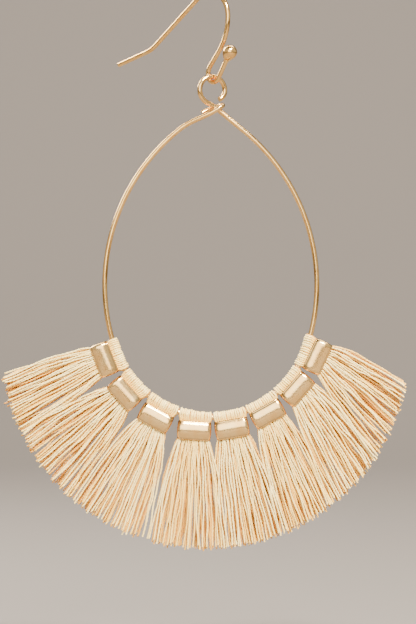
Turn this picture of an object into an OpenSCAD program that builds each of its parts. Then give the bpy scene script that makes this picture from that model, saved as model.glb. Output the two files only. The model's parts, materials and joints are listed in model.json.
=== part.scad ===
// Drop earring: an ear wire, a teardrop hoop that hangs from it by a bent eye, and eight thread
// tassels that are folded over the hoop and held by metal caps.
// The origin is the underside of the ear wire's arch, where it rests in the ear.
// The hoop's plane is XZ, and its front faces -Y.

/* [Wires] */
// Diameter of the ear wire
ear_wire_d = 0.72; // [0.6:0.02:0.8]
// Diameter of the hoop wire
hoop_wire_d = 0.76; // [0.6:0.02:0.84]

/* [Ear wire] */
// Turn of the ear wire's plane about the vertical, away from the hoop's plane
hook_turn = 45; // [40:1:60]
// Radius of the arch that goes through the ear, at its front
arch_r = 3.83; // [3.2:0.05:5]
// Radius of the arch at its back
arch_back_r = 5; // [3.2:0.05:6]
// Slope of the straight tail below level
tail_slope = 35.3; // [30:0.1:60]
// Length of the straight tail
tail_l = 11.65; // [8:0.05:18]
// Radius of the bend between tail and tip
kick_r = 2.5; // [1.5:0.1:4]
// Slope of the tip below level
tip_slope = 14.2; // [5:0.1:28]
// Length of the straight tip
tip_l = 7.1; // [5:0.1:9]
// Radius of the bow in the front stem
stem_bow_r = 8; // [6:0.2:12]
// Lean of the stem's straight stretch from the vertical
stem_lean = 41; // [30:1:45]
// Length of the stem's straight stretch
stem_l = 2.7; // [1.5:0.1:4]
// Radius of the bend at the stem's foot
foot_r = 2.1; // [1.5:0.1:3]
// Lean of the foot from the vertical
foot_lean = 4.5; // [1:0.5:10]
// Radius of the bend that carries the eye
carrier_r = 1.2; // [1.15:0.05:1.5]
// Rise of the leg above level
leg_rise = 57; // [50:1:70]
// Length of the leg, up to the middle of the ball
leg_l = 4.5; // [3.5:0.1:5.5]
// Diameter of the ball on the leg
ball_d = 2.2; // [1.6:0.1:2.6]
// Length of the cone under the ball
collar_l = 1.5; // [1.2:0.1:2]

/* [Eye and neck] */
// Radius of the eye, to the middle of its wire
eye_r = 2.09; // [1.9:0.02:2.6]
// Turn of the eye's plane about the vertical
eye_turn = 25; // [10:1:35]
// Clearance between the ear wire and the eye
hang_gap = 0.12; // [0.08:0.01:0.2]
// Distance by which the eye hangs left of the carrier's lowest point
eye_shift = 0.2; // [0:0.05:0.25]
// Clearance between the two passes of wire in the neck
neck_gap = 0.05; // [0.03:0.01:0.1]

/* [Hoop] */
// Radius of the hoop's lower arc
hoop_low_r = 15.3; // [14.8:0.1:16.5]
// Half angle of the lower arc
hoop_low_angle = 71.6; // [68:0.2:74]
// Radius of the two side arcs
hoop_side_r = 30.3; // [28:0.2:33]
// Slope of the hoop's shoulders at the top
shoulder_slope = 39; // [36:1:42]
// Distance by which the hoop hangs left of its eye
hoop_shift = 0.23; // [0:0.05:0.4]

/* [Caps] */
// Number of tassels
tassel_n = 8; // [8:1:8]
// Distance between tassels, along the hoop wire
tassel_pitch = 5.26; // [5.2:0.02:5.6]
// Distance of the tassels' middle right of the hoop's lowest point, along the hoop wire
tassel_shift = 0.25; // [0:0.05:0.5]
// Length of a cap
cap_l = 5.05; // [4.6:0.05:5.1]
// Height of a cap
cap_h = 2.7; // [2:0.1:3.2]
// Depth of a cap at its open rims
cap_rim = 2.1; // [2:0.05:2.6]
// Bulge of a cap's front and back
cap_bulge = 0.3; // [0.1:0.05:0.5]
// Bulge of a cap's ends
cap_end_bulge = 0.14; // [0.05:0.01:0.3]
// Length of the slot through a cap
slot_l = 4.4; // [4:0.05:4.5]
// Depth of the slot through a cap
slot_d = 1.5; // [1.2:0.05:1.6]

/* [Threads] */
// Diameter of the thread head round the wire
head_d = 1.7; // [1.6:0.05:2.1]
// Length of the thread head along the wire
head_l = 5.0; // [4.6:0.05:5.1]
// Clearance between thread and metal
thread_gap = 0.05; // [0.03:0.01:0.08]
// Radius of the round to which the fringe is cut
fringe_r = 30.9; // [28:0.1:34]
// Centre of that round, left of the hoop's middle
fringe_left = 0.8; // [0:0.1:1.5]
// Centre of that round, below the centre of the lower arc
fringe_below = 4.2; // [3:0.1:5]
// Unevenness of the cut
cut_uneven = 0.35; // [0:0.05:0.6]
// Thickness of the fringe at its tips
fringe_d = 1.8; // [1.4:0.1:2.2]
// Clearance between neighbouring tassels at their tips
tip_gap = 0.25; // [0.15:0.05:0.5]
// Locks across a tassel
lock_n = 9; // [5:1:12]
// Depth of the notches between locks at the cut
lock_notch = 0.9; // [0.3:0.1:1.5]
// Distance of the fringe's mouth from its cap
mouth_out = 0.3; // [0.2:0.05:0.5]
// Length of the neck inside the fringe
neck_lap = 0.25; // [0.2:0.05:0.5]

/* [Hidden] */

GOLD = [0.88, 0.73, 0.55];
THREAD = [0.96, 0.89, 0.76];

ROUND = 48;         // facets of a full turn of wire
EAR_SIDES = 12;     // sides of the bent ear wire
BEND_STEP = 12;     // largest turn of the ear wire between two rings, in degrees
WIRE_SIDES = 8;     // sides of the hoop wire
CAP_ROUND = 192;    // facets of a full turn of a cap's bulge
HEAD_SIDES = 12;    // sides of a thread head

ear_r = ear_wire_d / 2;
hoop_r = hoop_wire_d / 2;

// Each row of the ear wire is a bend and the straight after it
BEND_R = 0;
HEADING = 1;
STRAIGHT = 2;
HOOK_FRONT = [
    [arch_r, -90, 0],
    [stem_bow_r, -90 - stem_lean, stem_l],
    [foot_r, -90 - foot_lean, 0],
    [carrier_r, leg_rise, leg_l],
];
HOOK_BACK = [
    [arch_back_r, 180 + tail_slope, tail_l],
    [kick_r, 180 + tip_slope, tip_l],
];

// Each row of the fringe gives a tassel's cap lean and where its two edges meet the cut,
// in degrees from straight down
LEAN = 0;
EDGE_FROM = 1;
EDGE_TO = 2;
FRINGE = [
    [-0.5, -81.0, -64.2],
    [0, -64.2, -40.5],
    [0, -40.5, -19.0],
    [5, -15.5, 4.3],
    [-1, 4.3, 22.4],
    [-1.5, 22.4, 39.3],
    [-1.5, 39.3, 57.0],
    [-5, 57.0, 79.1],
];

// Paths of bends and straights, as [x, z, heading]

function in_plane(p) = [p[0], 0, p[1]];

function bend_centre(p, row) =
    let (s = sign(row[HEADING] - p[2]))
    [p[0] - s * row[BEND_R] * sin(p[2]), p[1] + s * row[BEND_R] * cos(p[2])];

function bend_end(p, row) =
    let (s = sign(row[HEADING] - p[2]), c = bend_centre(p, row), h = row[HEADING])
    [c[0] + s * row[BEND_R] * sin(h), c[1] - s * row[BEND_R] * cos(h), h];

function row_end(p, row) =
    let (e = bend_end(p, row))
    [e[0] + row[STRAIGHT] * cos(e[2]), e[1] + row[STRAIGHT] * sin(e[2]), e[2]];

function path_end(p, rows, n) = n == 0 ? p : row_end(path_end(p, rows, n - 1), rows[n - 1]);

// Points of a bend, one every BEND_STEP degrees or less, and the end of the straight after it
function row_points(p, row) =
    let (
        turn = row[HEADING] - p[2],
        s = sign(turn),
        c = bend_centre(p, row),
        n = ceil(abs(turn) / BEND_STEP)
    )
    concat(
        [for (i = [1 : n]) let (h = p[2] + turn * i / n)
            [c[0] + s * row[BEND_R] * sin(h), 0, c[1] - s * row[BEND_R] * cos(h)]],
        row[STRAIGHT] > 0 ? [in_plane(row_end(p, row))] : []
    );
function path_points(p, rows) = [
    for (n = [0 : len(rows) - 1]) each row_points(path_end(p, rows, n), rows[n])
];

arch_front = [0, ear_r, 0];
arch_back = [0, ear_r, 180];
ball_at = path_end(arch_front, HOOK_FRONT, 4);
tip_from = bend_end(path_end(arch_back, HOOK_BACK, 1), HOOK_BACK[1]);
carrier_c = bend_centre(path_end(arch_front, HOOK_FRONT, 3), HOOK_FRONT[3]);
carrier_low = [carrier_c[0], carrier_c[1] - carrier_r];

// The bent wire reaches this far into the tip, as a share of the tip's length
TIP_LAP = 0.1;
// Fullness of the bent wire beside the round tip
BENT_WIRE = 0.99;
// Radii of the cone at its foot and under the ball, as shares of the wire's and the ball's
COLLAR_FOOT = 1.05;
COLLAR_TOP = 0.84;
// The cone ends this far below the ball's middle, as a share of the ball's radius
COLLAR_END = 0.4;

module ear_hook() {
    back = path_points(arch_back, [HOOK_BACK[0], [kick_r, 180 + tip_slope, tip_l * TIP_LAP]]);
    front = path_points(arch_front, HOOK_FRONT);
    color(GOLD)
        rotate([0, 0, -hook_turn]) {
            swept(
                concat([for (i = [len(back) - 1 : -1 : 0]) back[i]], [in_plane(arch_front)], front),
                ear_r * BENT_WIRE, EAR_SIDES);
            translate(in_plane(tip_from))
                rotate([0, -90 - tip_slope, 0])
                    cylinder(r = ear_r, h = tip_l, $fn = ROUND);
            translate(in_plane(ball_at)) {
                sphere(d = ball_d, $fn = ROUND);
                rotate([0, 90 - leg_rise, 0])
                    translate([0, 0, -collar_l])
                        cylinder(
                            r1 = ear_r * COLLAR_FOOT, r2 = ball_d / 2 * COLLAR_TOP,
                            h = collar_l - ball_d / 2 * COLLAR_END, $fn = ROUND);
            }
        }
}

// The eye hangs on the carrier, and the middle of its top is the drop's own zero point
hang_at = [
    carrier_low[0] * cos(hook_turn) - eye_shift,
    -carrier_low[0] * sin(hook_turn),
    carrier_low[1] + ear_r + hoop_r + hang_gap,
];

// Hoop outline in its own plane, measured along the wire from its lowest point

straight_l = (hoop_low_r * sin(hoop_low_angle)
    + hoop_side_r * (sin(shoulder_slope) - sin(hoop_low_angle))) / cos(shoulder_slope);
low_arc = hoop_low_r * hoop_low_angle * PI / 180;
side_arc = hoop_side_r * (180 - shoulder_slope - hoop_low_angle) * PI / 180;
hoop_height = hoop_low_r * (1 - cos(hoop_low_angle))
    + hoop_side_r * (cos(hoop_low_angle) + cos(shoulder_slope))
    + straight_l * sin(shoulder_slope);
hoop_bottom = -2 * eye_r - hoop_height;

// Place and heading of the wire at the distance s from its lowest point, as [x, z, heading]
function hoop_at(s) =
    let (
        m = abs(s),
        a = m < low_arc ? m / hoop_low_r * 180 / PI
                        : hoop_low_angle + (m - low_arc) / hoop_side_r * 180 / PI,
        x = m < low_arc ? hoop_low_r * sin(a)
                        : hoop_low_r * sin(hoop_low_angle) + hoop_side_r * (sin(a) - sin(hoop_low_angle)),
        z = m < low_arc ? hoop_low_r * (1 - cos(a))
                        : hoop_low_r * (1 - cos(hoop_low_angle))
                            + hoop_side_r * (cos(hoop_low_angle) - cos(a))
    )
    [sign(s) * x - hoop_shift, hoop_bottom + z, sign(s) * a];

function bezier(a, b, c, d, n) = [
    for (i = [1 : n]) let (t = i / n, u = 1 - t)
        u * u * u * a + 3 * u * u * t * b + 3 * u * t * t * c + t * t * t * d
];

EYE_FROM = 320;     // angle of the eye's cut end
EYE_TO = 20;        // angle at which the wire leaves the eye
TUCK_FROM = 270;    // angle from which the cut end is tucked in
EYE_TUCK = 0.16;    // how far it is tucked in, as a share of the eye's radius
RIGHT_TOP = 0.25;   // where the right shoulder's straight ends, as a share of it
EYE_LEAVE = 0.57;   // reach of the bend under the eye at its upper end, in radii of the eye
LEAD_REACH = 0.7;   // the same at its lower end
RISE_REACH = 1.2;   // reach of the bend of the left shoulder at both ends, in radii of the eye
TAIL_LEAVE = 0.3;   // reach of the bend between the turn and the wire's cut end

// Point of the eye at the angle a, from its bottom by its left side
function eye_at(a) =
    let (
        tuck = EYE_TUCK * pow(max(0, a - TUCK_FROM) / (EYE_FROM - TUCK_FROM), 2),
        r = eye_r * (1 - tuck)
    )
    [-r * sin(a) * cos(eye_turn), -r * sin(a) * sin(eye_turn), -eye_r - r * cos(a)];
function eye_heading(a) = [-cos(a) * cos(eye_turn), -cos(a) * sin(eye_turn), sin(a)];

EYE_STEPS = 30;
SIDE_STEPS = 15;
LOW_STEPS = 12;
NECK_STEPS = 8;

side_top = low_arc + side_arc;
right_heading = [-cos(shoulder_slope), 0, sin(shoulder_slope)];
left_heading = [cos(shoulder_slope), 0, sin(shoulder_slope)];
right_top = in_plane(hoop_at(side_top)) + straight_l * RIGHT_TOP * right_heading;
left_top = in_plane(hoop_at(-side_top));

// The neck: the left wire crosses in front of the right one, turns round it and ends behind
NECK_SLOPE = 33;    // slope of the left wire where it crosses
WRAP_REACH = 1.2;   // how far the turn reaches past the crossing, as a share of its radius
WRAP_PITCH = 0.72;  // distance that the turn climbs, as a share of the wire's diameter
WRAP_STEPS = 9;
TAIL_STEPS = 4;
neck_up = [cos(NECK_SLOPE), 0, sin(NECK_SLOPE)];
neck_at = eye_r * [0.4, 0, -2.38];
neck_pitch = hoop_wire_d * WRAP_PITCH;
wrap_r = hoop_wire_d + neck_gap;
function wrap_at(a) = neck_at + wrap_r * (WRAP_REACH * sin(a) * neck_up - [0, cos(a), 0])
    + pow(a / 180, 2) * neck_pitch * right_heading;
wrap_end = eye_r * [-0.73, 0.2, -2.63];

eye_pts = [for (i = [0 : EYE_STEPS]) eye_at(EYE_FROM + (EYE_TO - EYE_FROM) * i / EYE_STEPS)];
lead_pts = bezier(
    eye_at(EYE_TO), eye_at(EYE_TO) - eye_r * EYE_LEAVE * eye_heading(EYE_TO),
    right_top + eye_r * LEAD_REACH * right_heading, right_top, NECK_STEPS);
right_pts = [for (i = [0 : SIDE_STEPS - 1]) in_plane(hoop_at(side_top - side_arc * i / SIDE_STEPS))];
low_pts = [for (i = [-LOW_STEPS : LOW_STEPS]) in_plane(hoop_at(-low_arc * i / LOW_STEPS))];
left_pts = [for (i = [1 : SIDE_STEPS]) in_plane(hoop_at(-low_arc - side_arc * i / SIDE_STEPS))];
rise_pts = bezier(
    left_top, left_top + eye_r * RISE_REACH * left_heading,
    wrap_at(0) - eye_r * RISE_REACH * neck_up, wrap_at(0), NECK_STEPS);
wrap_pts = [for (i = [1 : WRAP_STEPS]) wrap_at(180 * i / WRAP_STEPS)];
tail_pts = bezier(
    wrap_at(180), wrap_at(180) + eye_r * TAIL_LEAVE * unit(wrap_at(180) - wrap_at(179)),
    wrap_end + eye_r * [0.2, 0.05, 0.12], wrap_end, TAIL_STEPS);
hoop_pts = concat(eye_pts, lead_pts, right_pts, low_pts, left_pts, rise_pts, wrap_pts, tail_pts);

// Sweep of a round section along points, turned as little as possible from ring to ring

function unit(v) = v / norm(v);
function leg_heading(p, i) = unit(p[i + 1] - p[i]);
function tangents(p) = let (n = len(p) - 1) [
    for (i = [0 : n])
        i == 0 ? leg_heading(p, 0)
        : i == n ? leg_heading(p, n - 1)
        : unit(leg_heading(p, i - 1) + leg_heading(p, i))
];
function sides(t, i, v) = i == len(t) ? [] :
    let (w = unit(v - (v * t[i]) * t[i])) concat([w], sides(t, i + 1, w));

function rings(p, r, n) =
    let (t = tangents(p), w = sides(t, 0, [0, 1, 0]))
    [
        for (i = [0 : len(p) - 1], k = [0 : n - 1]) let (a = 360 * k / n)
            p[i] + r * (cos(a) * w[i] + sin(a) * cross(t[i], w[i]))
    ];
function walls(last, n) = [
    for (i = [0 : last - 1], k = [0 : n - 1]) let (m = (k + 1) % n)
        [i * n + k, (i + 1) * n + k, (i + 1) * n + m, i * n + m]
];
function reversed(faces, shift) = [for (f = faces) [for (k = [len(f) - 1 : -1 : 0]) f[k] + shift]];

module swept(p, r, n) {
    last = len(p) - 1;
    ends = [
        [for (k = [0 : n - 1]) k],
        [for (k = [n - 1 : -1 : 0]) last * n + k],
    ];
    polyhedron(rings(p, r, n), concat(walls(last, n), ends));
}

module swept_tube(p, r, bore_r, n) {
    last = len(p) - 1;
    inner = (last + 1) * n;
    ends = [
        for (i = [0, last], k = [0 : n - 1])
            let (m = (k + 1) % n, a = i == 0 ? k : m, b = i == 0 ? m : k)
            [i * n + a, i * n + b, inner + i * n + b, inner + i * n + a]
    ];
    polyhedron(
        concat(rings(p, r, n), rings(p, bore_r, n)),
        concat(walls(last, n), reversed(walls(last, n), inner), ends));
}

module hoop() {
    color(GOLD)
        translate(hang_at)
            swept(hoop_pts, hoop_r, WIRE_SIDES);
}

// Frames of the tassels in the drop's plane: the wire at a head's middle, as [x, z, heading]

function head_s(i) = (i - (tassel_n - 1) / 2) * tassel_pitch + tassel_shift;
head_at = [for (i = [0 : tassel_n - 1]) hoop_at(head_s(i))];
function middle(i) = [head_at[i][0], head_at[i][1]];
function cap_tilt(i) = head_at[i][2] + FRINGE[i][LEAN];
function along(i) = [cos(cap_tilt(i)), sin(cap_tilt(i))];
function outward(i) = [sin(cap_tilt(i)), -cos(cap_tilt(i))];

cap_drop = head_d / 2 + thread_gap + cap_h / 2;     // from the wire to a cap's middle
mouth_drop = cap_drop + cap_h / 2;                  // from the wire to a cap's lower rim
cap_d = cap_rim + 2 * cap_bulge;

module on_head(i) {
    translate(hang_at + in_plane(middle(i)))
        rotate([0, -cap_tilt(i), 0])
            children();
}

// Upright profile whose two sides bulge out to the full width at the middle of its height
module barrel(width, height, bulge) {
    r = (height * height / 4 + bulge * bulge) / (2 * bulge);
    intersection() {
        square([width, height], center = true);
        translate([r - width / 2, 0]) circle(r = r, $fn = CAP_ROUND);
        translate([width / 2 - r, 0]) circle(r = r, $fn = CAP_ROUND);
    }
}

module cap(i) {
    color(GOLD)
        on_head(i)
            translate([0, 0, -cap_drop])
                difference() {
                    intersection() {
                        rotate([90, 0, 0])
                            linear_extrude(height = cap_d, center = true)
                                barrel(cap_l, cap_h, cap_end_bulge);
                        rotate([90, 0, 90])
                            linear_extrude(height = cap_l, center = true)
                                barrel(cap_d, cap_h, cap_bulge);
                    }
                    cube([slot_l, slot_d, 2 * cap_h], center = true);
                }
}

// Threads: a head round the wire, a neck through the cap, and a fringe of locks cut to a round

HEAD_STEPS = 6;
function head_pts(i) = [
    for (k = [0 : HEAD_STEPS])
        in_plane(hoop_at(head_s(i) + head_l * (k / HEAD_STEPS - 0.5)))
];

module thread_head(i) {
    bore_r = (hoop_r + thread_gap) / cos(180 / HEAD_SIDES);
    translate(hang_at)
        swept_tube(head_pts(i), head_d / 2, bore_r, HEAD_SIDES);
}

neck_l = slot_l - 2 * thread_gap;
neck_d = slot_d - 2 * thread_gap;
NECK_TOP = 0.76;                        // depth of the neck's top in the head, as a share of its radius
neck_top = head_d / 2 * NECK_TOP;
neck_end = mouth_drop + mouth_out + neck_lap;

module thread_neck(i) {
    on_head(i)
        translate([-neck_l / 2, -neck_d / 2, -neck_end])
            cube([neck_l, neck_d, neck_end - neck_top]);
}

fringe_c = [-hoop_shift - fringe_left, hoop_bottom + hoop_low_r - fringe_below];
edge_gap = tip_gap / fringe_r * 90 / PI;    // half the clearance, as an angle at the cut

// The fringe starts just below its cap and is nearly as wide
mouth_l = cap_l - 4 * thread_gap;

// Share u runs from -1 at a tassel's left edge to 1 at its right edge
function mouth_at(i, u) =
    middle(i) + (mouth_drop + mouth_out) * outward(i) + u * mouth_l / 2 * along(i);
function cut_at(i, u, uneven) =
    let (
        from = FRINGE[i][EDGE_FROM] + edge_gap,
        to = FRINGE[i][EDGE_TO] - edge_gap,
        a = from + (to - from) * (u + 1) / 2
    )
    fringe_c + (fringe_r + uneven) * [sin(a), -cos(a)];

mouth_d = cap_rim - 4 * thread_gap;     // depth of the fringe at its mouth
LOCK_POINTS = 4;        // points across a lock
VALLEY = 0.8;           // depth between two locks, as a share of a lock's
last_point = lock_n * LOCK_POINTS;

// Fullness across the locks, from 0 between two of them to 1 at their middles
function fullness(k) = abs(sin(180 * k / LOCK_POINTS));

// Edge of the fringe's mouth (t = 0) or cut (t = 1), on its front (side = -1) or its back
function fringe_edge(i, side, t) =
    let (
        uneven = rands(-cut_uneven / 2, cut_uneven / 2, lock_n + 1, 10 * i + side + 5),
        depth = t == 0 ? mouth_d : fringe_d
    )
    [
        for (k = [0 : last_point])
            let (
                s = side < 0 ? k : k + LOCK_POINTS / 2,
                u = 2 * k / last_point - 1,
                notch = lock_notch * (1 - fullness(s)),
                p = t == 0 ? mouth_at(i, u) : cut_at(i, u, uneven[floor(s / LOCK_POINTS)] - notch)
            )
            [p[0], side * depth / 2 * (VALLEY + (1 - VALLEY) * fullness(s)), p[1]]
    ];

module locks(i) {
    n = last_point + 1;         // points on each of the four edges
    points = [for (t = [0, 1], side = [-1, 1]) each fringe_edge(i, side, t)];
    strips = [
        for (k = [0 : n - 2]) each [
            [k, k + n, k + n + 1, k + 1],                               // mouth
            [k + 2 * n, k + 2 * n + 1, k + 3 * n + 1, k + 3 * n],       // cut
            [k, k + 1, k + 2 * n + 1, k + 2 * n],                       // front
            [k + n + 1, k + n, k + 3 * n, k + 3 * n + 1],               // back
        ]
    ];
    ends = [
        [n, 0, 2 * n, 3 * n],
        [n - 1, 2 * n - 1, 4 * n - 1, 3 * n - 1],
    ];
    polyhedron(points, concat(strips, ends));
}

module tassel(i) {
    color(THREAD)
        union() {
            thread_head(i);
            thread_neck(i);
            translate(hang_at) locks(i);
        }
}

ear_hook();
hoop();
for (i = [1 : tassel_n]) {
    cap(i - 1);
    tassel(i - 1);
}
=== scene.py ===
import json
import math
import random

import bpy
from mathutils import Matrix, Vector

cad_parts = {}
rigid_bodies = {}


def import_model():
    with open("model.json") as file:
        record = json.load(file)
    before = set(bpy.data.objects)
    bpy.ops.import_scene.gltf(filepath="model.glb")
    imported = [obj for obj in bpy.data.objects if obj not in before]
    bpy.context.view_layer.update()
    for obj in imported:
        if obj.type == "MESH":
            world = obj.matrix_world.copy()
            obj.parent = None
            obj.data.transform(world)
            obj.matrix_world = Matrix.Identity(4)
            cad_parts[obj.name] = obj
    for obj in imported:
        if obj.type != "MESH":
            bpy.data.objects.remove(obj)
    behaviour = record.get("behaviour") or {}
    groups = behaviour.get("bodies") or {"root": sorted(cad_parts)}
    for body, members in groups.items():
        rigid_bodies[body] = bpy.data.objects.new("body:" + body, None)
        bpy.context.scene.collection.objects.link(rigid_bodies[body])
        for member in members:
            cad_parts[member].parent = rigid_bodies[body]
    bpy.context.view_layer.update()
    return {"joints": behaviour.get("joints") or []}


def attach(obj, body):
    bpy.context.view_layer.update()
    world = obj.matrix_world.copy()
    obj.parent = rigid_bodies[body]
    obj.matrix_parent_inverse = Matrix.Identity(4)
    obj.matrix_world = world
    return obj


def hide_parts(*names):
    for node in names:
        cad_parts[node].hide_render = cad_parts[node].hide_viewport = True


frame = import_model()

# Sizes in millimetres. Wires and fringe are as in the part, and caps and heads up to 0.15 mm larger
MM = 0.001
EAR_WIRE_R = 0.36
HOOP_WIRE_R = 0.38
TASSELS = 8
TASSEL_PITCH = 5.26
TASSEL_SHIFT = 0.25
HEAD_R = 0.86
HEAD_L = 5.12
CAP_L = 5.2
CAP_H = 2.85
CAP_D = 2.7
CAP_DROP = 2.18
FRINGE_R = 30.9
FRINGE_LEFT = 0.8
FRINGE_BELOW = 4.2

# The hinge's place is the middle of the eye's top, the zero point of everything that swings
HANG = Vector(frame["joints"][0]["pos_m"]) / MM

# Each tassel's cap lean, how far its cap is pushed up on the wire, and where its two edges meet the cut, in
# degrees from straight down. Strays are threads that end beyond an edge, which is at -1 or 1.
FRINGE = [
    {"lean": -0.5, "pushed_up": 0.1, "edges": (-81.0, -64.2),
     "strays": (-1.08, 1.05)},
    {"lean": 0, "pushed_up": -0.1, "edges": (-64.2, -40.5),
     "strays": (-1.06,)},
    {"lean": 0, "pushed_up": -0.05, "edges": (-40.5, -19.0),
     "strays": (1.07, 1.12, 1.2)},
    {"lean": 5, "pushed_up": 0.0, "edges": (-15.5, 4.3),
     "strays": (-1.05, 1.12, 1.2)},
    {"lean": -1, "pushed_up": 0.2, "edges": (4.3, 22.4),
     "strays": (1.06,)},
    {"lean": -1.5, "pushed_up": 0.4, "edges": (22.4, 39.3),
     "strays": (-1.08,)},
    {"lean": -1.5, "pushed_up": 0.35, "edges": (39.3, 57.0),
     "strays": (-1.1, 1.06)},
    {"lean": -5, "pushed_up": 0.2, "edges": (57.0, 79.1),
     "strays": (-1.05,)},
]


def sin(degrees):
    return math.sin(math.radians(degrees))


def cos(degrees):
    return math.cos(math.radians(degrees))


def mix(a, b, t):
    return a + (b - a) * t


# Camera and stage

VIEW_CENTRE = Vector((-0.30, 0.0, -48.1))   # the photo's middle, in the hoop's plane
VIEW_DISTANCE = 450.0
PHOTO_HEIGHT = 624
PIXELS_PER_MM = 6.6
FRAME_HEIGHT = PHOTO_HEIGHT / PIXELS_PER_MM     # millimetres that the photo's height spans
SENSOR_HEIGHT = 36.0
FLOOR_Z = -100.0
FLOOR_BACK = 900.0
FLOOR_COLOUR = (0.185, 0.16, 0.137, 1)


def set_camera():
    data = bpy.data.cameras.new("camera")
    data.sensor_fit = "VERTICAL"
    data.sensor_height = SENSOR_HEIGHT
    data.lens = SENSOR_HEIGHT * VIEW_DISTANCE / FRAME_HEIGHT
    data.clip_start = 0.01
    data.clip_end = 20
    camera = bpy.data.objects.new("camera", data)
    bpy.context.scene.collection.objects.link(camera)
    camera.location = Vector((VIEW_CENTRE.x, HANG.y - VIEW_DISTANCE, VIEW_CENTRE.z)) * MM
    camera.rotation_euler = (math.radians(90), 0, 0)
    bpy.context.scene.camera = camera


def area_light(name, place, target, size, power, colour):
    data = bpy.data.lights.new(name, "AREA")
    data.shape = "RECTANGLE"
    data.size = size[0] * MM
    data.size_y = size[1] * MM
    data.energy = power
    data.color = colour
    light = bpy.data.objects.new(name, data)
    bpy.context.scene.collection.objects.link(light)
    light.location = Vector(place) * MM
    light.rotation_euler = (Vector(target) - Vector(place)).to_track_quat("-Z", "Y").to_euler()


def set_light():
    """A bright ceiling over a darker, warm room, so that polished metal shows light and dark bands."""
    world = bpy.data.worlds.new("studio")
    bpy.context.scene.world = world
    world.use_nodes = True
    nodes = world.node_tree.nodes
    links = world.node_tree.links
    background = nodes["Background"]
    split = nodes.new("ShaderNodeSeparateXYZ")
    links.new(nodes.new("ShaderNodeTexCoord").outputs["Generated"], split.inputs[0])
    height = nodes.new("ShaderNodeMapRange")
    height.inputs["From Min"].default_value = -1.0
    links.new(split.outputs["Z"], height.inputs["Value"])
    links.new(ramp(nodes, links, height.outputs["Result"], [
        (0.30, (0.60, 0.40, 0.20)),
        (0.40, (0.20, 0.12, 0.06)),
        (0.46, (0.55, 0.42, 0.28)),
        (0.53, (1.0, 0.94, 0.84)),
        (0.80, (1.0, 0.97, 0.92)),
        (0.93, (0.25, 0.20, 0.15)),
    ]), background.inputs["Color"])
    background.inputs["Strength"].default_value = 0.75
    middle = (0, 0, -45)
    area_light("key", (110, -330, 330), middle, (200, 130), 13.0, (1.0, 0.95, 0.86))
    area_light("front", (-50, -480, 100), middle, (420, 280), 1.6, (1.0, 0.96, 0.88))
    area_light("backdrop", (0, 300, 750), (0, 900, 0), (1200, 300), 15.0, (1.0, 0.96, 0.91))
    area_light("rim", (-260, 220, 160), middle, (160, 200), 2.0, (1.0, 0.98, 0.95))


def plain_mesh(name, points, faces, material, smooth=False):
    mesh = bpy.data.meshes.new(name)
    mesh.from_pydata([Vector(p) * MM for p in points], [], faces)
    mesh.materials.append(material)
    for polygon in mesh.polygons:
        polygon.use_smooth = smooth
    thing = bpy.data.objects.new(name, mesh)
    bpy.context.scene.collection.objects.link(thing)
    return thing


def set_floor(material):
    """A floor that bends up into a wall far behind the part."""
    width = 2500.0
    front = -1500.0
    bend_r = 350.0
    bend_steps = 12
    wall_top = 1600.0
    profile = [(front, FLOOR_Z)]
    for k in range(bend_steps + 1):
        a = 90 * k / bend_steps
        profile.append((FLOOR_BACK - bend_r + bend_r * sin(a), FLOOR_Z + bend_r * (1 - cos(a))))
    profile.append((FLOOR_BACK, wall_top))
    points = [(x, y, z) for y, z in profile for x in (-width, width)]
    faces = [(2 * k, 2 * k + 1, 2 * k + 3, 2 * k + 2) for k in range(len(profile) - 1)]
    plain_mesh("floor", points, faces, material, smooth=True)


# Materials

def new_material(name):
    material = bpy.data.materials.new(name)
    material.use_nodes = True
    nodes = material.node_tree.nodes
    return material, nodes, material.node_tree.links, nodes["Principled BSDF"]


def floor_finish():
    material, _, _, shader = new_material("pale floor")
    shader.inputs["Base Color"].default_value = FLOOR_COLOUR
    shader.inputs["Roughness"].default_value = 0.9
    return material


def noise(nodes, links, source, scale, detail=3.0):
    texture = nodes.new("ShaderNodeTexNoise")
    texture.inputs["Scale"].default_value = scale
    texture.inputs["Detail"].default_value = detail
    links.new(source, texture.inputs["Vector"])
    return texture.outputs["Fac"]


def ramp(nodes, links, source, stops):
    node = nodes.new("ShaderNodeValToRGB")
    elements = node.color_ramp.elements
    for k, (place, colour) in enumerate(stops):
        element = elements[k] if k < 2 else elements.new(place)
        element.position = place
        element.color = (*colour, 1)
    links.new(source, node.inputs["Fac"])
    return node.outputs["Color"]


# Places of the colour sockets on a Mix node, which has number sockets of the same names
MIX_A = 6
MIX_B = 7
MIX_RESULT = 2
# Dark brown of painted shade, mixed in where the attribute of painted shade is 1
PAINTED_SHADE_BROWN = (0.16, 0.07, 0.02, 1)


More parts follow.
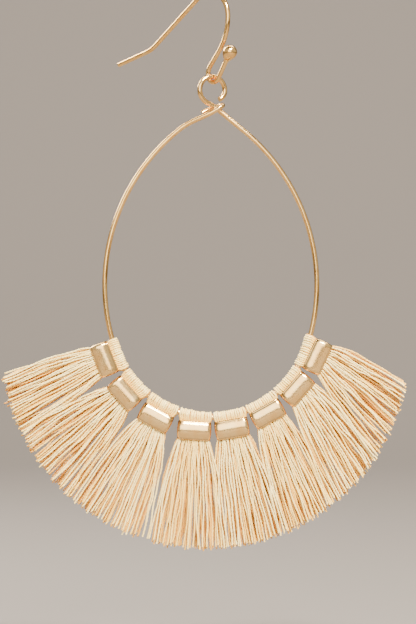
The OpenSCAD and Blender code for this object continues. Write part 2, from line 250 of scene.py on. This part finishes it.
def gold_finish(name, base, worn, roughness, rough_range, bump):
    """Light gold plate. Its colour and polish vary a little and it has fine dents. Where its attribute of
    painted shade is 1 it is painted dark brown, as shade in recesses and at corners."""
    material, nodes, links, shader = new_material(name)
    place = nodes.new("ShaderNodeTexCoord").outputs["Object"]
    blotches = noise(nodes, links, place, scale=900)
    painted_shade = nodes.new("ShaderNodeAttribute")
    painted_shade.attribute_name = "painted_shade"
    colour = nodes.new("ShaderNodeMix")
    colour.data_type = "RGBA"
    links.new(painted_shade.outputs["Fac"], colour.inputs["Factor"])
    links.new(ramp(nodes, links, blotches, [(0.35, worn), (0.65, base)]), colour.inputs[MIX_A])
    colour.inputs[MIX_B].default_value = PAINTED_SHADE_BROWN
    links.new(colour.outputs[MIX_RESULT], shader.inputs["Base Color"])
    polish = nodes.new("ShaderNodeMapRange")
    polish.inputs["To Min"].default_value = roughness
    polish.inputs["To Max"].default_value = roughness + rough_range
    links.new(noise(nodes, links, place, scale=2600), polish.inputs["Value"])
    links.new(polish.outputs["Result"], shader.inputs["Roughness"])
    dents = nodes.new("ShaderNodeBump")
    dents.inputs["Strength"].default_value = bump
    dents.inputs["Distance"].default_value = 0.00002
    links.new(noise(nodes, links, place, scale=1800, detail=4.0), dents.inputs["Height"])
    links.new(dents.outputs["Normal"], shader.inputs["Normal"])
    shader.inputs["Metallic"].default_value = 1.0
    return material


def thread_finish():
    """Glossy cream thread. Its attribute takes a strand from cream to a darker, warmer colour: painted
    shade deep in the bundle and on the heads, with some tone that differs at random."""
    material, nodes, links, shader = new_material("cream thread")
    tone_and_shade = nodes.new("ShaderNodeAttribute")
    tone_and_shade.attribute_name = "tone_and_shade"
    place = nodes.new("ShaderNodeTexCoord").outputs["Object"]
    blotches = noise(nodes, links, place, scale=420)
    total = nodes.new("ShaderNodeMath")
    total.operation = "MULTIPLY_ADD"
    links.new(blotches, total.inputs[0])
    total.inputs[1].default_value = 0.35
    links.new(tone_and_shade.outputs["Fac"], total.inputs[2])
    colour = ramp(nodes, links, total.outputs["Value"], [
        (0.12, (1.0, 0.81, 0.33)),
        (0.34, (0.98, 0.66, 0.16)),
        (0.66, (0.90, 0.49, 0.06)),
        (1.0, (0.68, 0.30, 0.02)),
    ])
    links.new(colour, shader.inputs["Base Color"])
    fibres = nodes.new("ShaderNodeBump")
    fibres.inputs["Strength"].default_value = 0.35
    fibres.inputs["Distance"].default_value = 0.00003
    links.new(noise(nodes, links, place, scale=9000, detail=2.0), fibres.inputs["Height"])
    links.new(fibres.outputs["Normal"], shader.inputs["Normal"])
    shader.inputs["Roughness"].default_value = 0.42
    shader.inputs["Specular IOR Level"].default_value = 0.55
    shader.inputs["Sheen Weight"].default_value = 0.25
    shader.inputs["Sheen Roughness"].default_value = 0.4
    return material


# Paths in the plane, as points with a heading

def bends(x, z, heading, rows, step=3.0):
    """Points along bends and straights. A row is a bend's radius, the heading after it and the length
    of the straight that follows."""
    points = []
    for radius, to, straight in rows:
        turn = to - heading
        side = math.copysign(1, turn)
        centre = (x - side * radius * sin(heading), z + side * radius * cos(heading))
        count = max(1, math.ceil(abs(turn) / step))
        for k in range(1, count + 1):
            h = heading + turn * k / count
            points.append((centre[0] + side * radius * sin(h), centre[1] - side * radius * cos(h)))
        x, z = points[-1]
        heading = to
        if straight:
            x += straight * cos(heading)
            z += straight * sin(heading)
            points.append((x, z))
    return points


HOOK_TURN = 45.0
TIP_SLOPE = 14.2
TAIL_SLOPE = 35.3
LEG_RISE = 57.0
HOOK_FRONT = [(3.83, -90, 0), (8.0, -131, 2.7), (2.1, -94.5, 0), (1.2, LEG_RISE, 4.5)]
HOOK_BACK = [(5.0, 180 + TAIL_SLOPE, 11.0), (6.0, 180 + TIP_SLOPE, 6.45)]


def hook_place(h, z):
    """A point of the ear wire's own plane, in the part's frame."""
    return Vector((h * cos(HOOK_TURN), -h * sin(HOOK_TURN), z))


def ear_wire_path():
    back = bends(0, EAR_WIRE_R, 180, HOOK_BACK)
    front = bends(0, EAR_WIRE_R, 0, HOOK_FRONT)
    return [hook_place(*p) for p in back[::-1] + [(0, EAR_WIRE_R)] + front]


# The hoop, measured along its wire from its lowest point

LOW_R = 15.3
LOW_ANGLE = 71.6
SIDE_R = 30.3
SHOULDER = 39.0
HOOP_SHIFT = 0.23
EYE_R = 2.09
EYE_TURN = 25.0
EYE_FROM = 320.0
EYE_TO = 20.0
TUCK_FROM = 270.0
EYE_TUCK = 0.16
NECK_SLOPE = 33.0
WRAP_R = 2 * HOOP_WIRE_R + 0.05

STRAIGHT = (LOW_R * sin(LOW_ANGLE) + SIDE_R * (sin(SHOULDER) - sin(LOW_ANGLE))) / cos(SHOULDER)
LOW_ARC = math.radians(LOW_ANGLE) * LOW_R
SIDE_ARC = math.radians(180 - SHOULDER - LOW_ANGLE) * SIDE_R
HOOP_HEIGHT = (LOW_R * (1 - cos(LOW_ANGLE)) + SIDE_R * (cos(LOW_ANGLE) + cos(SHOULDER))
               + STRAIGHT * sin(SHOULDER))
HOOP_BOTTOM = -2 * EYE_R - HOOP_HEIGHT


def hoop_at(s):
    """Place in the drop's own frame, and heading in degrees, at s along the wire."""
    m = abs(s)
    side = math.copysign(1, s)
    if m < LOW_ARC:
        a = math.degrees(m / LOW_R)
        x, z = LOW_R * sin(a), LOW_R * (1 - cos(a))
    else:
        a = LOW_ANGLE + math.degrees((m - LOW_ARC) / SIDE_R)
        x = LOW_R * sin(LOW_ANGLE) + SIDE_R * (sin(a) - sin(LOW_ANGLE))
        z = LOW_R * (1 - cos(LOW_ANGLE)) + SIDE_R * (cos(LOW_ANGLE) - cos(a))
    return Vector((side * x - HOOP_SHIFT, 0, HOOP_BOTTOM + z)), side * a


def curve_between(a, b, c, d, count):
    """Points of a cubic curve from a to d, without a."""
    points = []
    for k in range(1, count + 1):
        t = k / count
        u = 1 - t
        points.append(u ** 3 * a + 3 * u * u * t * b + 3 * u * t * t * c + t ** 3 * d)
    return points


def eye_at(a):
    tuck = EYE_TUCK * (max(0, a - TUCK_FROM) / (EYE_FROM - TUCK_FROM)) ** 2
    r = EYE_R * (1 - tuck)
    return Vector((-r * sin(a) * cos(EYE_TURN), -r * sin(a) * sin(EYE_TURN), -EYE_R - r * cos(a)))


def eye_heading(a):
    return Vector((-cos(a) * cos(EYE_TURN), -cos(a) * sin(EYE_TURN), sin(a)))


RIGHT_UP = Vector((-cos(SHOULDER), 0, sin(SHOULDER)))
LEFT_UP = Vector((cos(SHOULDER), 0, sin(SHOULDER)))
NECK_UP = Vector((cos(NECK_SLOPE), 0, sin(NECK_SLOPE)))
NECK_AT = EYE_R * Vector((0.4, 0, -2.38))
TAIL_END = EYE_R * Vector((-0.73, 0.2, -2.63))
TAIL_BACK = EYE_R * Vector((0.2, 0.05, 0.12))

# Lengths of the handles of the curves that join eye, hoop, neck and tail, as shares of the eye's radius
EYE_LEAVE = 0.57
LEAD_REACH = 0.7
RISE_REACH = 1.2
TAIL_LEAVE = 0.3

RIGHT_TOP = 0.25        # where the right straight gives way to the lead, as a share of its length
WRAP_STRETCH = 1.2      # the turn's reach in the hoop's plane, as a share of its reach forward
WRAP_PITCH = 0.72       # how far the turn moves on, as a share of the wire's thickness
EYE_STEPS = 90
LEAD_STEPS = 20
HOOP_STEPS = 240
RISE_STEPS = 24
WRAP_STEPS = 30
TAIL_STEPS = 10


def wrap_at(a):
    """The turn that the left wire takes round the right one."""
    turn = WRAP_STRETCH * sin(a) * NECK_UP - Vector((0, cos(a), 0))
    return NECK_AT + WRAP_R * turn + (a / 180) ** 2 * 2 * HOOP_WIRE_R * WRAP_PITCH * RIGHT_UP


def hoop_path():
    side_top = LOW_ARC + SIDE_ARC
    right_top = hoop_at(side_top)[0] + RIGHT_TOP * STRAIGHT * RIGHT_UP
    left_top = hoop_at(-side_top)[0]
    eye = [eye_at(mix(EYE_FROM, EYE_TO, k / EYE_STEPS)) for k in range(EYE_STEPS + 1)]
    lead = curve_between(
        eye_at(EYE_TO), eye_at(EYE_TO) - EYE_LEAVE * EYE_R * eye_heading(EYE_TO),
        right_top + LEAD_REACH * EYE_R * RIGHT_UP, right_top, LEAD_STEPS)
    round_hoop = [hoop_at(mix(side_top, -side_top, k / HOOP_STEPS))[0] for k in range(HOOP_STEPS + 1)]
    rise = curve_between(
        left_top, left_top + RISE_REACH * EYE_R * LEFT_UP,
        wrap_at(0) - RISE_REACH * EYE_R * NECK_UP, wrap_at(0), RISE_STEPS)
    wrap = [wrap_at(180 * k / WRAP_STEPS) for k in range(1, WRAP_STEPS + 1)]
    tail_from = wrap_at(180)
    tail_heading = (tail_from - wrap_at(179)).normalized()
    tail = curve_between(
        tail_from, tail_from + TAIL_LEAVE * EYE_R * tail_heading,
        TAIL_END + TAIL_BACK, TAIL_END, TAIL_STEPS)
    return [HANG + p for p in eye + lead + round_hoop + rise + wrap + tail]


# Geometry Nodes: a tree has named inputs, and sweeps a section along every line of edges it is given

class Tree:
    def __init__(self, name):
        self.group = bpy.data.node_groups.new(name, "GeometryNodeTree")
        self.group.interface.new_socket("Lines", in_out="INPUT", socket_type="NodeSocketGeometry")
        self.source = self.group.nodes.new("NodeGroupInput")
        self.target = self.group.nodes.new("NodeGroupOutput")
        self.ids = {}

    def named(self, name, kind):
        socket = self.group.interface.new_socket(name, in_out="INPUT", socket_type=kind)
        self.ids[name] = socket.identifier
        return self.source.outputs[name]

    def node(self, kind, **settings):
        node = self.group.nodes.new(kind)
        for key, value in settings.items():
            setattr(node, key, value)
        return node

    def link(self, output, node, socket):
        self.group.links.new(output, node.inputs[socket])
        return node

    def math(self, operation, a, b):
        node = self.node("ShaderNodeMath", operation=operation)
        for k, value in enumerate((a, b)):
            if isinstance(value, (int, float)):
                node.inputs[k].default_value = value
            else:
                self.group.links.new(value, node.inputs[k])
        return node.outputs[0]

    def finish(self, geometry, material):
        smooth = self.link(geometry, self.node("GeometryNodeSetShadeSmooth"), "Geometry")
        real = self.link(smooth.outputs[0], self.node("GeometryNodeRealizeInstances"), "Geometry")
        dressed = self.link(real.outputs[0], self.node("GeometryNodeSetMaterial"), "Geometry")
        self.group.links.new(material, dressed.inputs["Material"])
        self.group.interface.new_socket("Result", in_out="OUTPUT", socket_type="NodeSocketGeometry")
        self.group.links.new(dressed.outputs[0], self.target.inputs[0])


def wire_tree():
    """A round wire along each line."""
    tree = Tree("round wire")
    radius = tree.named("Radius", "NodeSocketFloat")
    sides = tree.named("Sides", "NodeSocketInt")
    material = tree.named("Material", "NodeSocketMaterial")
    line = tree.link(tree.source.outputs["Lines"], tree.node("GeometryNodeMeshToCurve"), "Mesh")
    section = tree.node("GeometryNodeCurvePrimitiveCircle")
    tree.link(radius, section, "Radius")
    tree.link(sides, section, "Resolution")
    tube = tree.link(line.outputs[0], tree.node("GeometryNodeCurveToMesh"), "Curve")
    tree.link(section.outputs[0], tube, "Profile Curve")
    tube.inputs["Fill Caps"].default_value = True
    tree.finish(tube.outputs[0], material)
    return tree


def thread_tree():
    """A two-ply thread along each line: a circle squashed into an oval by the waist, which turns with the
    twist.
    """
    tree = Tree("twisted thread")
    radius = tree.named("Radius", "NodeSocketFloat")
    waist = tree.named("Waist", "NodeSocketFloat")
    pitch = tree.named("Twist pitch", "NodeSocketFloat")
    rings = tree.named("Rings in a turn", "NodeSocketFloat")
    sides = tree.named("Sides", "NodeSocketInt")
    seed = tree.named("Seed", "NodeSocketInt")
    material = tree.named("Material", "NodeSocketMaterial")
    line = tree.link(tree.source.outputs["Lines"], tree.node("GeometryNodeMeshToCurve"), "Mesh")
    spline = tree.node("GeometryNodeCurveSplineType", spline_type="CATMULL_ROM")
    soft = tree.link(line.outputs[0], spline, "Curve")
    fine = tree.link(soft.outputs[0], tree.node("GeometryNodeResampleCurve", mode="LENGTH"), "Curve")
    tree.group.links.new(tree.math("DIVIDE", pitch, rings), fine.inputs["Length"])
    along = tree.node("GeometryNodeSplineParameter")
    turns = tree.math("DIVIDE", along.outputs["Length"], pitch)
    start = tree.node("FunctionNodeRandomValue", data_type="FLOAT")
    start.inputs["Max"].default_value = 1.0
    tree.link(seed, start, "Seed")
    index = tree.node("GeometryNodeInputIndex")
    thread_id = tree.math("SUBTRACT", index.outputs[0], along.outputs["Index"])
    tree.group.links.new(thread_id, start.inputs["ID"])
    tilt = tree.math("MULTIPLY", tree.math("ADD", turns, start.outputs["Value"]), 2 * math.pi)
    twisted = tree.link(fine.outputs[0], tree.node("GeometryNodeSetCurveTilt"), "Curve")
    tree.group.links.new(tilt, twisted.inputs["Tilt"])
    circle = tree.node("GeometryNodeCurvePrimitiveCircle")
    tree.link(radius, circle, "Radius")
    tree.link(sides, circle, "Resolution")
    section = tree.link(circle.outputs[0], tree.node("GeometryNodeSetPosition"), "Geometry")
    place = tree.node("GeometryNodeInputPosition")
    split = tree.link(place.outputs[0], tree.node("ShaderNodeSeparateXYZ"), 0)
    shape = tree.node("ShaderNodeCombineXYZ")
    tree.group.links.new(split.outputs[0], shape.inputs[0])
    tree.group.links.new(tree.math("MULTIPLY", split.outputs[1], waist), shape.inputs[1])
    tree.group.links.new(shape.outputs[0], section.inputs["Position"])
    tube = tree.link(twisted.outputs[0], tree.node("GeometryNodeCurveToMesh"), "Curve")
    tree.link(section.outputs[0], tube, "Profile Curve")
    tube.inputs["Fill Caps"].default_value = True
    tree.finish(tube.outputs[0], material)
    return tree


def lines_mesh(name, lines):
    """A mesh of edges along each line. A line is its points and its tone with painted shade, which is one
    number or one for each point."""
    points, edges, tones_and_shades = [], [], []
    for path, tone_and_shade in lines:
        base = len(points)
        points += [p * MM for p in path]
        tones_and_shades += tone_and_shade if isinstance(tone_and_shade, list) else [tone_and_shade] * len(path)
        edges += [(base + k, base + k + 1) for k in range(len(path) - 1)]
    mesh = bpy.data.meshes.new(name)
    mesh.from_pydata(points, edges, [])
    attribute = mesh.attributes.new("tone_and_shade", "FLOAT", "POINT")
    attribute.data.foreach_set("value", tones_and_shades)
    return mesh


def sweep(name, tree, lines, **inputs):
    """The plain mesh that a tree makes of the lines."""
    source = bpy.data.objects.new(name + "_lines", lines_mesh(name + "_lines", lines))
    bpy.context.scene.collection.objects.link(source)
    modifier = source.modifiers.new("sweep", "NODES")
    modifier.node_group = tree.group
    for key, value in inputs.items():
        modifier[tree.ids[key.replace("_", " ")]] = value
    graph = bpy.context.evaluated_depsgraph_get()
    mesh = bpy.data.meshes.new_from_object(source.evaluated_get(graph), depsgraph=graph)
    source.modifiers.remove(modifier)
    bpy.data.objects.remove(source)
    piece = bpy.data.objects.new(name, mesh)
    bpy.context.scene.collection.objects.link(piece)
    return piece


def join(name, pieces):
    """One mesh of several."""
    with bpy.context.temp_override(active_object=pieces[0], selected_editable_objects=pieces):
        bpy.ops.object.join()
    pieces[0].name = name
    pieces[0].data.name = name
    return pieces[0]


# Ear wire and its ball

WIRE_SIDES = 24
BALL_PROFILE = [(-1.75, 0.36), (-1.45, 0.40), (-1.1, 0.62), (-0.6, 0.93), (-0.1, 1.09), (0.35, 1.06),
                (0.75, 0.83), (1.0, 0.50), (1.1, 0.0)]


def lathe(name, profile, at, axis, material, sides=32):
    """A round shape from (along, radius) pairs about an axis."""
    turn = Vector(axis).to_track_quat("Z", "X")
    points, faces = [], []
    for along, radius in profile:
        for k in range(sides):
            a = 360 * k / sides
            points.append(at + turn @ Vector((radius * cos(a), radius * sin(a), along)))
    for j in range(len(profile) - 1):
        for k in range(sides):
            m = (k + 1) % sides
            faces.append((j * sides + k, j * sides + m, (j + 1) * sides + m, (j + 1) * sides + k))
    return plain_mesh(name, points, faces, material, smooth=True)


def make_ear_wire(wire, gold):
    path = ear_wire_path()
    bent = sweep("ear_wire_bent", wire, [(path, 0.0)], Radius=EAR_WIRE_R * MM, Sides=WIRE_SIDES,
                 Material=gold)
    ball = lathe("ear_wire_ball", BALL_PROFILE, path[-1], path[-1] - path[-2], gold)
    piece = join("ear_wire", [bent, ball])
    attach(piece, "hook")
    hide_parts("ear_hook")


def make_hoop(wire, gold):
    piece = sweep("hoop_wire", wire, [(hoop_path(), 0.0)], Radius=HOOP_WIRE_R * MM, Sides=WIRE_SIDES,
                  Material=gold)
    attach(piece, "drop")
    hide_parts("hoop")


# Tassels

class Tassel:
    """A tassel's own directions, along the hoop and outward through its cap, and its head's middle
    on the wire."""

    def __init__(self, i):
        self.i = i
        self.s = (i - (TASSELS - 1) / 2) * TASSEL_PITCH + TASSEL_SHIFT
        self.cap_drop = CAP_DROP - FRINGE[i]["pushed_up"]
        self.mouth_drop = self.cap_drop + CAP_H / 2
        self.middle, heading = hoop_at(self.s)
        tilt = heading + FRINGE[i]["lean"]
        self.along = Vector((cos(tilt), 0, sin(tilt)))
        self.out = Vector((sin(tilt), 0, -cos(tilt)))

    def at(self, across, deep, drop):
        """A point in the part's frame, from distances along the hoop, towards the back and out from
        the wire."""
        return HANG + self.middle + across * self.along + Vector((0, deep, 0)) + drop * self.out

    def cut(self, u, deep, uneven):
        """A point of the fringe's cut, from -1 at its left edge to 1 at its right edge."""
        left, right = FRINGE[self.i]["edges"]
        a = mix(left, right, (u + 1) / 2)
        centre = Vector((-HOOP_SHIFT - FRINGE_LEFT, 0, HOOP_BOTTOM + LOW_R - FRINGE_BELOW))
        return HANG + centre + (FRINGE_R + uneven) * Vector((sin(a), 0, -cos(a))) + Vector((0, deep, 0))


CAP_WALL = 0.28
CAP_CORNER = 0.62
CAP_SLIM_L = 0.2        # how much shorter a cap is at its rims than at its middle
CAP_SLIM_D = 0.75       # the same for its depth
CAP_INSIDE_H = 0.97     # height of the inner wall, as a share of the outer one's

# Levels run from -1 at a cap's upper rim to 1 at its lower one
CAP_LEVELS = [0.12, 0.25, 0.4, 0.55, 0.68, 0.78, 0.83, 0.87, 0.91, 0.95, 0.98, 1.0]
CAP_GROOVE = 0.04
GROOVE_LEVEL = 0.85
GROOVE_REACH = 0.05
CAP_RIM = 0.07
RIM_LEVEL = 0.9
RIM_REACH = 0.1

# Painted shade lies in the two grooves, on the rims and in a spot at each upper corner, darker at the left
# one
GROOVE_SHADE_REACH = 0.04
RIM_SHADE_LEVEL = 0.93
RIM_SHADE_REACH = 0.07
RECESS_SHADE = 0.8
CORNER_SHADE_R = 0.55
CORNER_SHADE_ACROSS = 0.44
CORNER_SHADE_LEVEL = 0.7
LEFT_CORNER_SHADE = 0.75
RIGHT_CORNER_SHADE = 0.45


def cap_ring(length, depth, corner, count=6, runs=12):
    """A rounded rectangle's points, with more of them along its two long sides."""
    points = []
    for k, (sx, sy) in enumerate(((1, -1), (1, 1), (-1, 1), (-1, -1))):
        middle_x = sx * (length / 2 - corner)
        middle_y = sy * (depth / 2 - corner)
        for j in range(count + 1):
            a = -90 + 90 * k + 90 * j / count
            points.append((middle_x + corner * cos(a), middle_y + corner * sin(a)))
        if k % 2:
            x, y = points[-1]
            points += [(mix(x, -x, j / runs), y) for j in range(1, runs)]
    return points


def cap_section(level, inset):
    """Length and depth of a cap at a level, with its surface set in."""
    fullness = 1 - level * level
    length = CAP_L - CAP_SLIM_L * (1 - fullness) - 2 * inset
    depth = CAP_D - CAP_SLIM_D * (1 - fullness) - 2 * inset
    return length, depth


def cap_rows():
    """Level, length, depth and corner of each ring, down the outside and back up the inside."""
    levels = [-level for level in reversed(CAP_LEVELS)] + [0.0] + CAP_LEVELS
    rows = []
    for level in levels:
        groove = CAP_GROOVE * max(0.0, 1 - abs(abs(level) - GROOVE_LEVEL) / GROOVE_REACH)
        rim = groove + CAP_RIM * max(0.0, (abs(level) - RIM_LEVEL) / RIM_REACH) ** 2
        rows.append((level, *cap_section(level, rim), CAP_CORNER))
    for level in reversed(levels):
        rows.append((level * CAP_INSIDE_H, *cap_section(level, CAP_WALL), CAP_CORNER - CAP_WALL))
    return rows


def cap_painted_shade(ring, level):
    """How dark each point of a ring is painted as shade, from 0 to 1."""
    recess = max(0.0, 1 - abs(abs(level) - GROOVE_LEVEL) / GROOVE_SHADE_REACH,
                 (abs(level) - RIM_SHADE_LEVEL) / RIM_SHADE_REACH)
    painted_shade = []
    for x, _ in ring:
        across = abs(x) - CAP_L * CORNER_SHADE_ACROSS
        spot = max(0.0, 1 - math.hypot(across, (level + CORNER_SHADE_LEVEL) * CAP_H / 2) / CORNER_SHADE_R)
        corner_shade = LEFT_CORNER_SHADE if x < 0 else RIGHT_CORNER_SHADE
        painted_shade.append(min(1.0, RECESS_SHADE * recess + corner_shade * spot))
    return painted_shade


def make_caps(gold):
    """Eight flattened tubes with a slight barrel shape, open above and below."""
    points, faces, painted_shade = [], [], []
    rows = cap_rows()
    for i in range(TASSELS):
        tassel = Tassel(i)
        base = len(points)
        for level, length, depth, corner in rows:
            ring = cap_ring(length, depth, corner)
            points += [tassel.at(x, y, tassel.cap_drop + level * CAP_H / 2) for x, y in ring]
            painted_shade += cap_painted_shade(ring, level)
        count = len(ring)
        for j in range(len(rows)):
            this_ring = base + j * count
            next_ring = base + (j + 1) % len(rows) * count
            for k in range(count):
                m = (k + 1) % count
                faces.append((this_ring + k, this_ring + m, next_ring + m, next_ring + k))
    piece = plain_mesh("caps", points, faces, gold, smooth=True)
    # Painted shade, dark brown, in the grooves, on the rims and at the upper corners
    piece.data.attributes.new("painted_shade", "FLOAT", "POINT").data.foreach_set("value", painted_shade)
    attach(piece, "drop")
    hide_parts(*[f"cap_{i + 1}" for i in range(TASSELS)])


THREAD_R = 0.145
LAYERS = 6
STRANDS_ACROSS = 19
LOCKS = 7
PATH_POINTS = 22
FRINGE_SEED = 40
STRAY_LAYER = -1.05     # strays lie just before the front layer, which is at -1
STRAY_FROM = (0.7, 0.95)
# Strays lie in front, so they take almost no painted shade
STRAY_TONE_AND_SHADE = 0.05
ACROSS_SCATTER = 0.02
LAYER_SCATTER = 0.06
# Painted shade: the middle layers of a fringe are coloured darker and warmer than its front and back
INNER_PAINTED_SHADE = 0.8
TINT_SPREAD = (-0.12, 0.26)

# Half length and half depth of the bundle inside the cap, at its mouth and at the cut, and how far up,
# out or short those places lie
INSIDE_ACROSS = 2.0
INSIDE_DEEP = 0.5
INSIDE_UP = 0.8
MOUTH_ACROSS = 2.42
MOUTH_DEEP = 0.8
MOUTH_OUT = 0.1
CUT_DEEP = 0.85
CUT_DEEP_SCATTER = 0.12
CUT_SCATTER = 0.22
CUT_SHORT = 0.1

LOCK_PULL = 0.5         # most that a thread's end is drawn to the middle of its lock
LOCK_SCATTER = 0.035
FLARE = 1.15
FLARE_SCATTER = 0.15
FLARE_AT_MOUTH = 0.3
BOW_AT = 0.38           # where along the thread its bow is, as a share

# Ranges for the number of a thread's waves, and for the height of its waves sideways, of its crinkle
# and of its waves towards the back
WAVES = (0.8, 2.6)
SWAY = (0.03, 0.19)
CRINKLE = (0.01, 0.06)
SWELL = (0.02, 0.1)
CRINKLE_RATE = 3.1
SWELL_RATE = 1.3


def strand(tassel, draw, u, v, stray=None):
    """One thread from inside the cap to the cut. A stray thread ends where it is told."""
    lock = (math.floor((u + 1) / 2 * LOCKS) + 0.5) / LOCKS * 2 - 1
    u_end = mix(u, lock, draw.uniform(0.0, LOCK_PULL)) + draw.gauss(0, LOCK_SCATTER)
    u_end = max(-1.0, min(1.0, u_end)) if stray is None else stray
    inside = tassel.at(u * INSIDE_ACROSS, v * INSIDE_DEEP, tassel.mouth_drop - INSIDE_UP)
    mouth = tassel.at(u * MOUTH_ACROSS, v * MOUTH_DEEP, tassel.mouth_drop + MOUTH_OUT)
    end = tassel.cut(u_end, v * CUT_DEEP + draw.gauss(0, CUT_DEEP_SCATTER),
                     draw.gauss(0, CUT_SCATTER) - CUT_SHORT)
    flare = (FLARE * u * u * u + draw.gauss(0, FLARE_SCATTER)) * tassel.along
    bow = mouth + BOW_AT * (end - mouth) + flare
    path = [inside] + curve_between(inside, mouth + FLARE_AT_MOUTH * flare, bow, end, PATH_POINTS)
    waves = draw.uniform(*WAVES)
    sway = draw.uniform(*SWAY)
    crinkle = draw.uniform(*CRINKLE)
    swell = draw.uniform(*SWELL)
    phase = draw.uniform(0, 360)
    for k, p in enumerate(path):
        t = k / PATH_POINTS
        grow = min(1.0, t * 3) * (0.6 + 0.6 * t)
        sideways = sway * sin(360 * waves * t + phase)
        sideways += crinkle * sin(360 * CRINKLE_RATE * waves * t + 3 * phase)
        p += grow * sideways * tassel.along
        p.y += swell * grow * sin(360 * waves * t * SWELL_RATE + 2 * phase)
    return path


def fringe_lines(tassel):
    draw = random.Random(FRINGE_SEED + tassel.i)
    lines = []
    for layer in range(LAYERS):
        v = 2 * layer / (LAYERS - 1) - 1
        for k in range(STRANDS_ACROSS):
            u = (2 * k + 1 + (layer % 2 - 0.5)) / STRANDS_ACROSS - 1 + draw.gauss(0, ACROSS_SCATTER)
            u = max(-1.0, min(1.0, u))
            # Painted shade grows towards the middle layers, with tone that differs at random
            tone_and_shade = INNER_PAINTED_SHADE * (1 - abs(v)) ** 0.6 + draw.uniform(*TINT_SPREAD)
            lines.append((strand(tassel, draw, u, v + draw.gauss(0, LAYER_SCATTER)), max(0.0, tone_and_shade)))
    for stray in FRINGE[tassel.i]["strays"]:
        u = math.copysign(draw.uniform(*STRAY_FROM), stray)
        lines.append((strand(tassel, draw, u, STRAY_LAYER, stray), STRAY_TONE_AND_SHADE))
    return lines


HEAD_THREAD_R = 0.18
HEAD_FOLDS = 15         # folds in the upper layer, with as many more under them
HEAD_SEED = 90
UNDER_INSET = 0.2
FOLD_FROM = -30         # degrees round the wire, from the back over the top to the front
FOLD_TO = 210
FOLD_STEP = 12
FOLD_SCATTER = (-0.03, 0.05)
FOLD_LOOSE = (-0.03, 0.06)
FOLD_LEAN = 0.04
LEG_ACROSS = 2.15       # half length and half depth of the folds' ends in the cap
LEG_DEEP = 0.55
LEG_IN = 0.4
# Painted shade: the under layer of folds is darker, and every fold darkens towards its lower side by the
# cap
UNDER_PAINTED_SHADE = 0.75
HEAD_TINT_SPREAD = (0.0, 0.15)
HEAD_SHADE = 0.45


def head_lines(tassel):
    """The threads where they come up out of the cap and are folded over the hoop wire."""
    draw = random.Random(HEAD_SEED + tassel.i)
    lines = []
    for k in range(2 * HEAD_FOLDS):
        under = k % 2
        u = (2 * (k // 2) + 1 + under) / HEAD_FOLDS - 1
        middle, heading = hoop_at(tassel.s + u * HEAD_L / 2 * (1 - 0.5 / HEAD_FOLDS))
        out = Vector((sin(heading), 0, -cos(heading)))
        along = Vector((cos(heading), 0, sin(heading)))
        r = HEAD_R - HEAD_THREAD_R - UNDER_INSET * under + draw.uniform(*FOLD_SCATTER)
        loose = draw.uniform(*FOLD_LOOSE)
        lean = draw.gauss(0, FOLD_LEAN)
        fold = []
        for a in range(FOLD_FROM, FOLD_TO + 1, FOLD_STEP):
            ring = cos(a) * Vector((0, 1, 0)) - sin(a) * out
            fold.append(HANG + middle + (r + loose * max(0, sin(a))) * ring + lean * cos(a) * along)
        leg_drop = tassel.cap_drop - CAP_H / 2 + LEG_IN
        back_leg = tassel.at(u * LEG_ACROSS, LEG_DEEP, leg_drop)
        front_leg = tassel.at(u * LEG_ACROSS, -LEG_DEEP, leg_drop)
        # The front leg comes before the fold's last point, so the thread turns back up there
        path = [back_leg] + fold[:-1] + [front_leg, fold[-1]]
        # Painted shade on the under folds and on each fold's lower side, with tone that differs at random
        fold_tone_and_shade = UNDER_PAINTED_SHADE * under + draw.uniform(*HEAD_TINT_SPREAD)
        lines.append((path, [fold_tone_and_shade + HEAD_SHADE * max(0.0, (p - HANG - middle).dot(out)) for p in path]))
    return lines


def make_tassel(i, thread, cream):
    tassel = Tassel(i)
    fringe = sweep(f"tassel_{i + 1}_fringe", thread, fringe_lines(tassel), Radius=THREAD_R * MM, Waist=0.74,
                   Twist_pitch=1.25 * MM, Rings_in_a_turn=4.0, Sides=6, Seed=i, Material=cream)
    head = sweep(f"tassel_{i + 1}_head", thread, head_lines(tassel), Radius=HEAD_THREAD_R * MM, Waist=0.85,
                 Twist_pitch=1.1 * MM, Rings_in_a_turn=5.0, Sides=7, Seed=i + 20, Material=cream)
    piece = join(f"tassel_{i + 1}_threads", [fringe, head])
    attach(piece, "drop")
    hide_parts(f"tassel_{i + 1}")


set_camera()
set_light()
set_floor(floor_finish())
wire_gold = gold_finish("light gold wire", base=(0.97, 0.62, 0.22), worn=(0.92, 0.52, 0.15),
                        roughness=0.08, rough_range=0.10, bump=0.15)
cap_gold = gold_finish("light gold cap", base=(0.98, 0.67, 0.27), worn=(0.94, 0.57, 0.19),
                       roughness=0.12, rough_range=0.12, bump=0.5)
cream = thread_finish()
wire = wire_tree()
thread = thread_tree()
make_ear_wire(wire, wire_gold)
make_hoop(wire, wire_gold)
make_caps(cap_gold)
for i in range(TASSELS):
    make_tassel(i, thread, cream)
